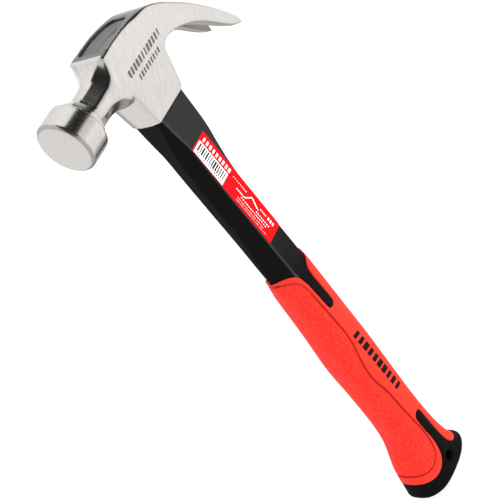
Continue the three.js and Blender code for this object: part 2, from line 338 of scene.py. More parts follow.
def add_node(
    tree: bpy.types.NodeTree, kind: str, inputs: dict | None = None, **settings: object
) -> bpy.types.Node:
    """Adds a node with its settings, its constant inputs and its links.

    Args:
        tree: Tree that takes the node.
        kind: The node's type name.
        inputs: For each input, by name or number, a socket to link from or a constant.
        settings: The node's own properties.

    Returns:
        The new node.
    """
    node = tree.nodes.new(kind)
    for name, value in settings.items():
        setattr(node, name, value)
    for key, value in (inputs or {}).items():
        if isinstance(value, bpy.types.NodeSocket):
            tree.links.new(value, node.inputs[key])
        else:
            node.inputs[key].default_value = value
    return node


def new_material(name: str) -> tuple[bpy.types.Material, bpy.types.NodeTree]:
    """Empty node material.

    Args:
        name: The finish's name.

    Returns:
        The material and its node tree.
    """
    material = bpy.data.materials.new(name)
    material.use_nodes = True
    material.node_tree.nodes.clear()
    return material, material.node_tree


def to_frame(points: np.ndarray, base_z: float) -> np.ndarray:
    """Moves points from the working millimetres into the frame's metres.

    Args:
        points: Points behind the striking face, across the head, and above a level.
        base_z: That level's height in millimetres: the bell's axis, or 0 for the butt.

    Returns:
        The points in metres.
    """
    return (points + np.array([FACE_X, 0.0, base_z])) * MM


def mesh_object(
    name: str, points: np.ndarray, faces: np.ndarray, material: bpy.types.Material
) -> bpy.types.Object:
    """Makes a smooth-shaded mesh object.

    Args:
        name: The piece's name.
        points: Its points in metres.
        faces: Its faces, one row of point numbers each.
        material: Its finish.

    Returns:
        The new object, linked into the scene.
    """
    mesh = bpy.data.meshes.new(name)
    mesh.from_pydata(points.tolist(), [], faces.tolist())
    mesh.materials.append(material)
    mesh.shade_smooth()
    mesh.validate()
    piece = bpy.data.objects.new(name, mesh)
    bpy.context.scene.collection.objects.link(piece)
    return piece


def paint(piece: bpy.types.Object, name: str, values: np.ndarray) -> None:
    """Stores one number for each point, which the piece's material reads.

    Args:
        piece: The piece to mark.
        name: The attribute's name.
        values: Its value at each point.
    """
    attribute = piece.data.attributes.new(name, "FLOAT", "POINT")
    attribute.data.foreach_set("value", values.astype(np.float32))


def hand_over(piece: bpy.types.Object, replaced: str | None = None) -> None:
    """Parents a finished piece to its body, and hides the CAD node that it stands for.

    Args:
        piece: The finished piece.
        replaced: The CAD node, if the piece stands for one.
    """
    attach(piece, ROOT_BODY)
    if replaced:
        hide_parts(replaced)


# ---------------------------------------------------------------- finishes
class Grain(Enum):
    """Ways that a surface was worked, as the stretch of its marks along X, Y and Z."""

    GROUND = (1.0, 1.0, 0.06)
    DRAWN = (1.0, 1.0, 0.02)


@dataclass(frozen=True)
class SatinForgedSteel:
    """Drop-forged carbon steel, belt ground: bright, with fine slanting lines that blur what it mirrors.

    Real ground lines are too fine to see, so these are drawn coarser. Sizes are in millimetres.
    """

    dull_colour: str = "#9C9996"
    bright_colour: str = "#D8D5D2"
    # Colour of the unpolished crown, also used as painted shade in the eye, in the nail slot and on the face
    # bevel.
    crown_and_shade_colour: str = "#706E6F"
    line_spacing: float = 0.55
    line_lean: float = 33.0
    line_depth: float = 0.02
    patch_size: float = 11.1
    roughness: float = 0.2
    patch_roughness: tuple[float, float] = (-0.04, 0.06)
    crown_roughness: float = 0.15

    def material(self) -> bpy.types.Material:
        """Builds the material, which darkens where the mesh's `crown` attribute is 1: the unpolished crown,
        and painted shade on the eye's walls, the nail slot's walls and the face bevel.
        """
        material, tree = new_material("satin_forged_steel")
        place = add_node(tree, "ShaderNodeTexCoord")
        turned = add_node(
            tree,
            "ShaderNodeMapping",
            {"Vector": place.outputs["Object"], "Rotation": (0.0, math.radians(-self.line_lean), 0.0)},
        )
        stretched = add_node(
            tree, "ShaderNodeVectorMath", {0: turned.outputs[0], 1: Grain.GROUND.value}, operation="MULTIPLY"
        )
        lines = add_node(
            tree,
            "ShaderNodeTexNoise",
            {
                "Vector": stretched.outputs[0],
                "Scale": 1 / (self.line_spacing * MM),
                "Detail": 5.0,
                "Roughness": 0.65,
            },
        )
        patches = add_node(
            tree,
            "ShaderNodeTexNoise",
            {"Vector": place.outputs["Object"], "Scale": 1 / (self.patch_size * MM), "Detail": 3.0},
        )
        # Reads the unpolished crown and the painted shade in the eye, in the nail slot and on the face bevel.
        crown = add_node(tree, "ShaderNodeAttribute", attribute_name="crown")
        bright = add_node(
            tree,
            "ShaderNodeMix",
            {"Factor": lines.outputs["Fac"], 6: linear(self.dull_colour), 7: linear(self.bright_colour)},
            data_type="RGBA",
        )
        shade = add_node(
            tree,
            "ShaderNodeMix",
            {"Factor": crown.outputs["Fac"], 6: bright.outputs[2], 7: linear(self.crown_and_shade_colour)},
            data_type="RGBA",
        )
        smoothest, roughest = (self.roughness + change for change in self.patch_roughness)
        gloss = add_node(
            tree,
            "ShaderNodeMapRange",
            {"Value": patches.outputs["Fac"], "To Min": smoothest, "To Max": roughest},
        )
        rough = add_node(
            tree,
            "ShaderNodeMath",
            {0: crown.outputs["Fac"], 1: self.crown_roughness, 2: gloss.outputs[0]},
            operation="MULTIPLY_ADD",
        )
        bump = add_node(
            tree,
            "ShaderNodeBump",
            {"Strength": 0.25, "Distance": self.line_depth * MM, "Height": lines.outputs["Fac"]},
        )
        shader = add_node(
            tree,
            "ShaderNodeBsdfPrincipled",
            {
                "Base Color": shade.outputs[2],
                "Metallic": 1.0,
                "Roughness": rough.outputs[0],
                "Normal": bump.outputs[0],
            },
        )
        add_node(tree, "ShaderNodeOutputMaterial", {"Surface": shader.outputs["BSDF"]})
        return material


@dataclass(frozen=True)
class EtchedSteel:
    """Acid-etched steel: dull and dark brown-grey beside the ground surface, with fine pits."""

    dark_colour: str = "#453E3A"
    light_colour: str = "#7A716B"
    pit_size: float = 0.4

    def material(self) -> bpy.types.Material:
        """Builds the material."""
        material, tree = new_material("etched_steel")
        place = add_node(tree, "ShaderNodeTexCoord")
        pits = add_node(
            tree,
            "ShaderNodeTexNoise",
            {"Vector": place.outputs["Object"], "Scale": 1 / (self.pit_size * MM)},
        )
        shade = add_node(
            tree,
            "ShaderNodeMix",
            {"Factor": pits.outputs["Fac"], 6: linear(self.dark_colour), 7: linear(self.light_colour)},
            data_type="RGBA",
        )
        shader = add_node(
            tree,
            "ShaderNodeBsdfPrincipled",
            {"Base Color": shade.outputs[2], "Metallic": 0.4, "Roughness": 0.6},
        )
        add_node(tree, "ShaderNodeOutputMaterial", {"Surface": shader.outputs["BSDF"]})
        return material


@dataclass(frozen=True)
class MouldedPlastic:
    """Plastic or ink with a smooth skin: even colour, and a fine texture that breaks its gloss.

    The colour drifts between `deep_colour` and `colour` in soft clouds. Each entry of `marked` names a
    mesh attribute and the colour where it is 1. Sizes are in millimetres.
    """

    name: str
    colour: str
    deep_colour: str
    roughness: float
    texture_size: float
    texture_depth: float
    specular: float = 0.5
    marked: tuple[tuple[str, str], ...] = ()
    cloud_size: float = 16.7
    gloss_change: float = 0.05

    def material(self) -> bpy.types.Material:
        """Builds the material."""
        material, tree = new_material(self.name)
        place = add_node(tree, "ShaderNodeTexCoord")
        skin = add_node(
            tree,
            "ShaderNodeTexNoise",
            {"Vector": place.outputs["Object"], "Scale": 1 / (self.texture_size * MM), "Detail": 3.0},
        )
        clouds = add_node(
            tree,
            "ShaderNodeTexNoise",
            {"Vector": place.outputs["Object"], "Scale": 1 / (self.cloud_size * MM), "Detail": 2.0},
        )
        shade = add_node(
            tree,
            "ShaderNodeMix",
            {"Factor": clouds.outputs["Fac"], 6: linear(self.deep_colour), 7: linear(self.colour)},
            data_type="RGBA",
        )
        for attribute, colour in self.marked:
            mask = add_node(tree, "ShaderNodeAttribute", attribute_name=attribute)
            shade = add_node(
                tree,
                "ShaderNodeMix",
                {"Factor": mask.outputs["Fac"], 6: shade.outputs[2], 7: linear(colour)},
                data_type="RGBA",
            )
        gloss = add_node(
            tree,
            "ShaderNodeMapRange",
            {
                "Value": skin.outputs["Fac"],
                "To Min": self.roughness - self.gloss_change,
                "To Max": self.roughness + self.gloss_change,
            },
        )
        bump = add_node(
            tree,
            "ShaderNodeBump",
            {"Strength": 0.5, "Distance": self.texture_depth * MM, "Height": skin.outputs["Fac"]},
        )
        shader = add_node(
            tree,
            "ShaderNodeBsdfPrincipled",
            {
                "Base Color": shade.outputs[2],
                "Roughness": gloss.outputs[0],
                "Specular IOR Level": self.specular,
                "Normal": bump.outputs[0],
            },
        )
        add_node(tree, "ShaderNodeOutputMaterial", {"Surface": shader.outputs["BSDF"]})
        return material


@dataclass(frozen=True)
class GrainedElastomer:
    """Thermoplastic rubber, moulded: smooth satin strips, and a pebbled palm panel painted a deeper red as
    painted shade, with painted highlights on its pebble tops.
    """

    colour: str = "#E22F1E"
    palm_shade_colour: str = "#E62317"
    pebble_highlight_colour: str = "#F24A38"
    crease_shade_colour: str = "#A8150F"
    pebble: float = 1.4
    pebble_height: float = 0.5
    pebble_highlight_share: float = 0.35

    def material(self) -> bpy.types.Material:
        """Builds the material, pebbled where the mesh's `palm` attribute is 1, with painted shade in the
        groove round the panel.
        """
        material, tree = new_material("grained_elastomer")
        place = add_node(tree, "ShaderNodeTexCoord")
        palm = add_node(tree, "ShaderNodeAttribute", attribute_name="palm")
        pebbles = add_node(
            tree,
            "ShaderNodeTexNoise",
            {
                "Vector": place.outputs["Object"],
                "Scale": 1 / (self.pebble * MM),
                "Detail": 2.0,
                "Roughness": 0.5,
            },
        )
        # Painted shade: the palm panel is painted a deeper red.
        shade = add_node(
            tree,
            "ShaderNodeMix",
            {"Factor": palm.outputs["Fac"], 6: linear(self.colour), 7: linear(self.palm_shade_colour)},
            data_type="RGBA",
        )
        height = add_node(
            tree, "ShaderNodeMath", {0: pebbles.outputs["Fac"], 1: palm.outputs["Fac"]}, operation="MULTIPLY"
        )
        # Painted highlight: the tops of the pebbles are painted a lighter red.
        tops = add_node(
            tree,
            "ShaderNodeMapRange",
            {"Value": height.outputs[0], "From Min": 0.45, "From Max": 0.65, "To Max": self.pebble_highlight_share},
        )
        pebble_highlights = add_node(
            tree,
            "ShaderNodeMix",
            {"Factor": tops.outputs[0], 6: shade.outputs[2], 7: linear(self.pebble_highlight_colour)},
            data_type="RGBA",
        )
        # Painted shade in the groove round the palm panel.
        crease_shade = add_node(tree, "ShaderNodeAttribute", attribute_name="crease_shade")
        shaded = add_node(
            tree,
            "ShaderNodeMix",
            {"Factor": crease_shade.outputs["Fac"], 6: pebble_highlights.outputs[2], 7: linear(self.crease_shade_colour)},
            data_type="RGBA",
        )
        bump = add_node(
            tree,
            "ShaderNodeBump",
            {"Strength": 0.8, "Distance": self.pebble_height * MM, "Height": height.outputs[0]},
        )
        shader = add_node(
            tree,
            "ShaderNodeBsdfPrincipled",
            {
                "Base Color": shaded.outputs[2],
                "Roughness": 0.5,
                "Specular IOR Level": 0.15,
                "Normal": bump.outputs[0],
            },
        )
        add_node(tree, "ShaderNodeOutputMaterial", {"Surface": shader.outputs["BSDF"]})
        return material


@dataclass(frozen=True)
class PultrudedFibreglass:
    """Glass rovings in clear resin, drawn through a die: straight pale streaks along the rod."""

    resin_colour: str = "#B9A45A"
    glass_colour: str = "#EFE3AC"
    roving_width: float = 0.83

    def material(self) -> bpy.types.Material:
        """Builds the material."""
        material, tree = new_material("pultruded_fibreglass")
        place = add_node(tree, "ShaderNodeTexCoord")
        drawn = add_node(
            tree,
            "ShaderNodeVectorMath",
            {0: place.outputs["Object"], 1: Grain.DRAWN.value},
            operation="MULTIPLY",
        )
        rovings = add_node(
            tree,
            "ShaderNodeTexNoise",
            {"Vector": drawn.outputs[0], "Scale": 1 / (self.roving_width * MM), "Detail": 4.0},
        )
        shade = add_node(
            tree,
            "ShaderNodeMix",
            {"Factor": rovings.outputs["Fac"], 6: linear(self.resin_colour), 7: linear(self.glass_colour)},
            data_type="RGBA",
        )
        shader = add_node(
            tree, "ShaderNodeBsdfPrincipled", {"Base Color": shade.outputs[2], "Roughness": 0.4}
        )
        add_node(tree, "ShaderNodeOutputMaterial", {"Surface": shader.outputs["BSDF"]})
        return material


# Cast two-part epoxy: mid grey and glossy, cloudy where it set.
EPOXY = MouldedPlastic("cast_epoxy", "#525355", "#3E3F41", 0.28, 0.8, 0.004, specular=0.8)
# Injection-moulded polypropylene: near-black and semi-matt. Its upper side facets are painted greyer as
# painted light, and their front edges carry a painted highlight.
POLYPROPYLENE = MouldedPlastic(
    "moulded_polypropylene",
    "#0D0D0E",
    "#09090A",
    0.45,
    0.35,
    0.015,
    specular=0.04,
    # Painted light on the side facets and a painted highlight on their front edges.
    marked=(("panel", "#2A2A2B"), ("edge", "#4A4A4C")),
)
# Printed vinyl film: flat bright red, with a dull gloss.
LABEL_FILM = MouldedPlastic("printed_vinyl", "#D4090F", "#CD070D", 0.4, 0.5, 0.004, specular=0.05)
# Screen-printed inks: dense, with a faint tooth.
WHITE_INK = MouldedPlastic("white_ink", "#FBFAF8", "#F4F2F0", 0.45, 0.5, 0.002)
BLACK_INK = MouldedPlastic("black_ink", "#15100F", "#0F0B0A", 0.5, 0.5, 0.002, specular=0.06)


# ---------------------------------------------------------------- head
@dataclass
class ForgedHead:
    """The forging: bell, octagonal neck, eye block with its crown, cheeks and socket, and split claw."""

    bell_radius: float = 14.0
    bell_length: float = 13.0
    face_bevel: float = 1.4
    neck_half: float = 9.0
    neck_corner: float = 0.75
    neck_end: float = 43.0
    neck_under: tuple[float, float] = (12.0, 13.4)
    neck_waist: tuple[float, float] = (22.0, 27.5)
    shoulder_radius: float = 8.0
    shoulder_limit: float = 2.7
    flare_radius: float = 12.5
    crown_front: float = 39.3
    crown_fade: tuple[float, float] = (80.0, 72.0)
    cheek_half: float = 11.0
    cheek_drop: float = 28.0
    draft: float = 0.06
    draft_end: tuple[float, float] = (76.0, 66.0)
    claw_start: tuple[float, float] = (70.0, 85.0)
    claw_tip: tuple[float, float] = (112.0, 104.0)
    socket_top: float = -12.0
    socket_bulge: float = 1.7
    slot_root: float = 87.0
    slot_half: float = 0.6
    slot_taper: float = 0.176
    prong_end: float = 114.2
    prong_slant: float = 1.1
    eye_depth: float = 20.0
    step: float = 0.5

    def top_line(self) -> np.ndarray:
        """Side view of the crown and the claw's back, from the front edge to the tip."""
        return smooth_path(
            [(39.3, 14.9), (47, 15.1), (55, 14.9), (63, 14.1), (70, 12.8), (76.6, 10.6), (82.9, 7.1)]
            + [(89.9, 1.5), (97.2, -5.4), (104, -12.8), (110.9, -21.7), (117.6, -31.8)],
            3,
        )

    def under_line(self) -> np.ndarray:
        """Side view of the claw's underside and the throat, from the tip to the back of the cheeks."""
        return smooth_path(
            [(114.4, -34.6), (109.6, -30.3), (104.3, -24.7), (99.3, -19.4), (93.6, -14.6), (88.1, -11.2)]
            + [(83.1, -8.8), (79.1, -7.4), (75.4, -6.7), (71.9, -7.3), (69.8, -9.4), (69.1, -12.6)],
            3,
        )

    def side_outline(self) -> np.ndarray:
        """Side view of the whole block behind the neck."""
        low = -self.cheek_drop
        foot = [(66.8, -20.7), (65.6, -25.8), (63.3, low), (40.0, low), (38.0, -11.0)]
        tip = [(119.0, -34.6), (118.0, -36.4)]
        return np.vstack([self.top_line(), tip, self.under_line(), foot, [(self.crown_front, 0.0)]])

    def crown_height(self, x: np.ndarray) -> np.ndarray:
        """Height of the crown and the claw's back at each distance behind the face."""
        line = self.top_line()
        return np.interp(x, line[:, 0], line[:, 1])

    def neck_half_width(self, x: np.ndarray, flare_radius: float, waist_end: float) -> np.ndarray:
        """Half width of the neck across two of its flats.

        Args:
            x: Distance behind the striking face.
            flare_radius: Radius of the sweep into the block.
            waist_end: Where that sweep starts.

        Returns:
            The half width.
        """
        ahead = np.clip(self.neck_waist[0] - x, 0.0, self.shoulder_radius)
        behind = np.clip(x - waist_end, 0.0, flare_radius)
        shoulder = self.shoulder_radius - np.sqrt(self.shoulder_radius**2 - ahead**2)
        flare = flare_radius - np.sqrt(flare_radius**2 - behind**2)
        return self.neck_half + np.minimum(shoulder, self.shoulder_limit) + flare

    def crown_bevel(self, x: np.ndarray, y: np.ndarray, z: np.ndarray) -> np.ndarray:
        """Field of everything inside the bevels between the crown and the cheeks."""
        stations = [39.3, 47.7, 56, 62, 67, 72, 77, 84]
        limits = [24.9, 25.3, 25.0, 24.2, 23.0, 22.3, 21.9, 18.5]
        return (np.abs(y) + z - np.interp(x, stations, limits)) / math.sqrt(2)

    def bell(self, x: np.ndarray, y: np.ndarray, z: np.ndarray) -> np.ndarray:
        """Field of the striking bell, with a bevelled face and a chamfered shoulder."""
        radius = np.hypot(y, z)
        wall = both(radius - self.bell_radius, -x, 0.05)
        bevel = (radius - x - (self.bell_radius - self.face_bevel)) / math.sqrt(2)
        shoulder = (3 * (x - self.bell_length) + 2 * (radius - self.bell_radius)) / math.hypot(3, 2)
        return both(both(both(wall, bevel, 0.5), shoulder, 0.5), x - self.bell_length - 3)

    def neck(self, x: np.ndarray, y: np.ndarray, z: np.ndarray) -> np.ndarray:
        """Field of the octagonal neck and its sweep out to the crown and the cheeks."""
        flats = self.neck_half_width(x, self.flare_radius, 27.3)
        corners = self.neck_half_width(x, self.flare_radius + 0.3, 26.3) - self.neck_corner
        steepness = np.hypot(1.0, np.gradient(flats, axis=0) / self.step) if flats.ndim == 3 else 1.0
        sides = both(np.abs(y) - flats, np.abs(z) - flats, 1.0)
        section = both(sides, (np.abs(y) + np.abs(z)) / math.sqrt(2) - corners, 1.2) / steepness
        section = both(section, -z - self.neck_under[0], 2.0)
        section = both(section, (np.abs(y) - z) / math.sqrt(2) - self.neck_under[1], 2.0)
        crown = both(section, z - self.crown_height(x), 0.5)
        cheeks = both(crown, np.abs(y) - self.cheek_half - self.draft * np.minimum(z, 0.0), 1.6)
        bevelled = both(cheeks, self.crown_bevel(x, y, z), 0.5)
        return both(both(bevelled, self.bell_length - 1 - x), x - self.neck_end)

    def block(self, x: np.ndarray, y: np.ndarray, z: np.ndarray) -> np.ndarray:
        """Field of the eye block, the cheeks, the socket and the claw before it is split."""
        half = self.cheek_half + self.draft * np.minimum(z, 0.0) * ramp(x, *self.draft_end)
        rounding = 0.7 * (1.0 + ramp(x, *self.claw_start) * np.maximum(ramp(x, *self.claw_tip), 0.2))
        slab = both(outline_distance(self.side_outline(), x, z), np.abs(y) - half, rounding)
        socket = 39.6 - 0.13 * (z - self.socket_top) - self.socket_bulge * (1 - (y / 9.4) ** 2)
        slab = both(slab, socket - x, 0.7)
        return both(slab, self.crown_bevel(x, y, z), 0.5)

    def nail_slot(self, x: np.ndarray, y: np.ndarray, z: np.ndarray) -> np.ndarray:
        """Field of the tapered nail slot, which opens out between slanted prong ends."""
        half = self.slot_half + self.slot_taper * (x - self.slot_root)
        half = half + self.prong_slant * np.maximum(x - self.prong_end, 0.0)
        return both(np.abs(y) - half, self.slot_root - x, 2.0)

    def eye_outline(self, inset: float) -> np.ndarray:
        """Plan of the eye, squarer in front and narrower towards the claw.

        Args:
            inset: How far inside the eye's wall the outline runs.

        Returns:
            Its corners.
        """
        half = [(42.6, 6.6), (44.4, 8.5), (55.5, 8.4), (61.0, 7.6), (65.2, 6.6), (69.0, 4.2)]
        shrunk = [(x + (inset if x < 50 else -inset * (x > 62)), y - inset) for x, y in half]
        return np.array(shrunk + [(x, -y) for x, y in reversed(shrunk)])

    def field(self, x: np.ndarray, y: np.ndarray, z: np.ndarray) -> np.ndarray:
        """Field of the whole forging."""
        striker = either(self.bell(x, y, z), self.neck(x, y, z), 0.6)
        head = either(striker, self.block(x, y, z), 1.0)
        head = without(head, self.nail_slot(x, y, z), 1.0)
        eye = both(outline_distance(self.eye_outline(0.0), x, y), self.crown_height(x) - self.eye_depth - z)
        return without(head, eye, 0.7)

    def crown_finish_and_painted_shade(self, points: np.ndarray) -> np.ndarray:
        """How dark each point is: the crown is unpolished, and the eye's walls, the nail slot's walls and the
        face bevel get painted shade.

        Args:
            points: Points on the forging, in millimetres.

        Returns:
            Values from 0 to 1.
        """
        x, y, z = points.T
        on_top = ramp(self.crown_height(x) - z, 0.45, 0.15)
        # Painted shade: the eye's walls, the nail slot's walls and the face bevel are darkened.
        in_eye = ramp(outline_distance(self.eye_outline(0.0), x, y), 0.4, 0.1)
        along = ramp(x, self.crown_front, self.crown_front + 0.3) * ramp(x, *self.crown_fade)
        in_slot = ramp(np.abs(self.nail_slot(x, y, z)), 0.5, 0.2) * (x > self.slot_root - 1.0)
        on_bevel = ramp(x, self.face_bevel + 0.1, self.face_bevel - 0.2) * ramp(x, 0.06, 0.16)
        bevel_share, slot_share = 0.5, 0.9
        return np.maximum.reduce(
            [on_top * along, in_eye * along, bevel_share * on_bevel, slot_share * in_slot]
        )

    def build(self, steel: bpy.types.Material) -> bpy.types.Object:
        """Meshes the forging.

        Args:
            steel: Its finish.

        Returns:
            The finished piece.
        """
        low, high = np.array([-2.0, -16.0, -38.5]), np.array([121.0, 16.0, 18.0])
        points, faces = surface_of(self.field, low, high, self.step)
        piece = mesh_object("forged_head", to_frame(points, AXIS_Z), faces, steel)
        # The `crown` attribute carries the unpolished crown and painted shade in the eye, in the nail slot
        # and on the face bevel.
        paint(piece, "crown", self.crown_finish_and_painted_shade(points))
        return piece


@dataclass
class EyeResin:
    """Epoxy cast into the eye, with a dished top below the crown."""

    head: ForgedHead
    below_crown: float = 1.0
    dish: float = 2.2
    dish_reach: float = 6.0
    clearance: float = 0.05
    depth: float = 16.0
    step: float = 0.5

    def field(self, x: np.ndarray, y: np.ndarray, z: np.ndarray) -> np.ndarray:
        """Field of the resin."""
        wall = outline_distance(self.head.eye_outline(self.clearance), x, y)
        slope = 1.0 - (1.0 - ramp(wall, 0.0, -self.dish_reach)) ** 2
        top = self.head.crown_height(x) - self.below_crown - self.dish * slope
        return both(both(wall, z - top, 0.8), top - self.depth - z)

    def build(self, epoxy: bpy.types.Material) -> bpy.types.Object:
        """Meshes the resin.

        Args:
            epoxy: Its finish.

        Returns:
            The finished piece.
        """
        low, high = np.array([41.0, -10.0, -12.0]), np.array([71.5, 10.0, 17.0])
        points, faces = surface_of(self.field, low, high, self.step)
        return mesh_object("cast_eye_resin", to_frame(points, AXIS_Z), faces, epoxy)


# ---------------------------------------------------------------- handle
@dataclass
class HandleForm:
    """Outer forms that the jacket and the sleeve share. Heights are above the butt.

    Towards its top the sleeve draws in to the shaft (`hug`) and stands a little `proud` of it. Below
    that, the shaft narrows (`tuck`) under the sleeve, and the lands in the upper window sink into it.
    """

    shaft_half: float = 9.0
    grip_power: float = 2.6
    top: float = 283.9
    sleeve_wall: float = 2.6
    sleeve_floor: float = 13.0
    gap: float = 0.15
    groove: float = 0.45
    hug: float = 1.5
    hugging: tuple[float, float] = (164.0, 182.0)
    proud: float = 0.9
    proud_over: tuple[float, float] = (152.0, 166.0)
    tuck: float = 1.8
    tucked: tuple[float, float] = (169.0, 154.0)
    shaft_foot: float = 150.0
    land_merge: tuple[float, float] = (152.0, 180.0)
    land_sink: tuple[float, float] = (0.15, 2.4)
    under_top: float = 184.0
    under_foot: float = 15.0
    bore: tuple[float, float] = (44.2, 11.2)
    bore_radius: float = 3.1
    bore_chamfer: float = 1.0

    def front(self, z: np.ndarray) -> np.ndarray:
        """Front line of the grip."""
        return track(
            [(0, 15.4), (5, 16.2), (10, 17.2), (17, 18.6), (27, 20.8), (34, 23.8), (45, 28.4)]
            + [(61, 30.6), (86, 31.4), (109, 31.6), (132, 34.0), (161, 36.1), (175, 36.9), (190, 37.6)],
            z,
        )

    def back(self, z: np.ndarray) -> np.ndarray:
        """Rear line of the grip."""
        return track(
            [(0, 68.4), (2, 67.6), (4, 66.2), (7, 64.0), (11, 61.9), (17, 60.3), (25, 59.2)]
            + [(34, 58.4), (45, 58.0), (61, 58.2), (86, 59.4)]
            + [(109, 60.5), (132, 61.0), (161, 61.9), (175, 62.4), (190, 62.8)],
            z,
        )

    def half_width(self, z: np.ndarray) -> np.ndarray:
        """Half width of the grip."""
        butt = [(0, 12.6), (8, 13.0), (20, 12.6)]
        return track(butt + [(60, 11.7), (110, 12.0), (150, 11.2), (175, 10.6), (190, 10.2)], z)

    def grip(self, x: np.ndarray, y: np.ndarray, z: np.ndarray, inset: float = 0.0) -> np.ndarray:
        """Field of the grip's outer form, or of one set in from it."""
        centre = (self.front(z) + self.back(z)) / 2
        depth = (self.back(z) - self.front(z)) / 2 - inset
        width = self.half_width(z) - inset
        across = (np.abs(x - centre) / depth) ** self.grip_power + (np.abs(y) / width) ** self.grip_power
        size = np.maximum(across, 1e-6) ** (1 / self.grip_power)
        shortest = np.minimum(depth, width) * (1 + 0.6 * np.clip(np.abs(x - centre) / depth, 0, 1) ** 4)
        return (size - 1) * shortest

    def butt(self, x: np.ndarray, z: np.ndarray) -> np.ndarray:
        """Field of everything above the butt's underside."""
        front_heel = [(4, 20), (10, 12.8), (16, 8.2), (22, 5.2), (31, 2.2), (44, 0.4), (54, 0.05)]
        under = smooth_path(front_heel + [(62, 0.8), (70, 2.6), (84, 8.4)], 4)
        sides = np.array([(84, 300), (6, 300)])
        return outline_distance(np.vstack([under, sides]), x, z)

    def side_facet(self, z: np.ndarray) -> tuple[np.ndarray, np.ndarray]:
        """Front and rear edges of the shaft's side facet at each height."""
        front = track([(160, 45.0), (240, 45.3), (262, 45.5), (268, 45.0), (276, 43.9), (284, 43.2)], z)
        rear = track([(160, 57.4), (220, 57.5), (240, 58.4), (252, 60.2), (264, 62.3), (284, 63.4)], z)
        return front, rear

    def shaft(self, x: np.ndarray, y: np.ndarray, z: np.ndarray) -> np.ndarray:
        """Field of the eight-sided shaft, which swells into a collar under the head."""
        side_front, side_back = self.side_facet(z)
        front = track([(160, 36.6), (185, 36.9), (205, 38.4), (250, 39.3), (284, 41.2)], z)
        back = track([(160, 61.4), (220, 61.8), (240, 62.6), (252, 64.4), (264, 66.3), (284, 67.0)], z)
        flats = both(both(np.abs(y) - self.shaft_half, front - x, 0.8), x - back, 0.8)
        front_corner = (5.5 * (side_front - x) + 5.8 * (np.abs(y) - self.shaft_half)) / math.hypot(5.5, 5.8)
        back_corner = (5.5 * (x - side_back) + 4.2 * (np.abs(y) - self.shaft_half)) / math.hypot(5.5, 4.2)
        section = both(both(flats, front_corner, 0.9), back_corner, 0.9) + self.tuck * ramp(z, *self.tucked)
        return both(both(section, z - self.top), self.shaft_foot - z)

    def sleeve_outline(self) -> np.ndarray:
        """Side view of the grip sleeve, with a tongue-shaped window at each end."""
        top_front = smooth_path(
            [(0, 178.6), (22, 178.2), (30.7, 177.4), (37, 176.2), (42, 174.2), (45.2, 170), (46.2, 163)], 4
        )
        upper_window = [(46.6, 145.6)] + half_turn(49.4, 145.2, 2.8, 180, 360) + [(52.2, 147)]
        top_back = smooth_path([(52.4, 162.0), (53.8, 168.6), (57.4, 172.6), (62, 174.2), (90, 175)], 4)
        back_foot = smooth_path(
            [(90, 9.8), (63.5, 8.8), (58.4, 9.0), (54.0, 11.6), (51.2, 17), (50.2, 25), (50, 35)], 4
        )
        lower_window = half_turn(46.5, 48.0, 3.3, 0, 180) + [(43.0, 39.0)]
        front_foot = smooth_path(
            [(43.2, 33), (42.4, 25.5), (39.8, 18.4), (34.0, 14.4)]
            + [(25.9, 15.2), (17.2, 20.6), (10, 30), (0, 40)],
            4,
        )
        return np.vstack([top_front, upper_window, top_back, back_foot, lower_window, front_foot])

    def palm_path(self) -> np.ndarray:
        """Line round the palm panel, in side view, from its top front to its lower front."""
        return smooth_path(
            [(24, 178.8), (33.7, 175.8), (39.8, 171.8), (42.4, 168.4), (43.8, 164), (44, 155), (44.1, 133)]
            + [(43.7, 124), (42.5, 117), (40.6, 110), (39.1, 101), (38.8, 91), (40.4, 79), (40.8, 63)]
            + [(41.6, 42), (40.9, 33), (38.9, 26), (34.8, 21.8), (27, 21.4), (19.5, 26), (13.2, 33), (4, 44)],
            3,
        )

    def sleeve(self, x: np.ndarray, y: np.ndarray, z: np.ndarray) -> np.ndarray:
        """Field of the sleeve: a wall with windows, and a groove round the palm panel."""
        hug = self.hug * ramp(z, *self.hugging)
        proud = self.proud * ramp(z, *self.proud_over)
        body = either(self.grip(x, y, z, hug), self.shaft(x, y, z) - proud, 1.0)
        region = outline_distance(self.sleeve_outline(), x, z)
        outer = both(both(body, self.butt(x, z), 4.0), region, 0.7)
        depth = track([(150, 0.9), (166, 0.18)], z)
        groove = both(path_distance(self.palm_path(), x, z) - self.groove, -(body + depth), 0.2)
        inside = either(self.grip(x, y, z, self.sleeve_wall), self.shaft(x, y, z) - self.gap)
        return without(without(outer, groove, 0.4), both(inside, self.sleeve_floor - z))

    def jacket(self, x: np.ndarray, y: np.ndarray, z: np.ndarray) -> np.ndarray:
        """Field of the jacket: shaft, part under the sleeve, lands in its windows, and butt."""
        sink = self.land_sink[0] + self.land_sink[1] * ramp(z, *self.land_merge) ** 2
        body = both(self.grip(x, y, z, sink), z - self.land_merge[1])
        butt = both(body, self.butt(x, z), 2.4)
        lands = both(butt, 0.12 - outline_distance(self.sleeve_outline(), x, z), 0.5)
        under = both(self.grip(x, y, z, self.sleeve_wall + 2 * self.gap), z - self.under_top)
        joined = either(either(lands, both(under, self.under_foot - z)), self.shaft(x, y, z), 0.4)
        bore = np.hypot(x - self.bore[0], z - self.bore[1]) - self.bore_radius
        below_skin = np.abs(self.half_width(z) - np.abs(y))
        rim = bore - np.maximum(self.bore_chamfer - below_skin, 0.0)
        return without(joined, rim, 0.8)


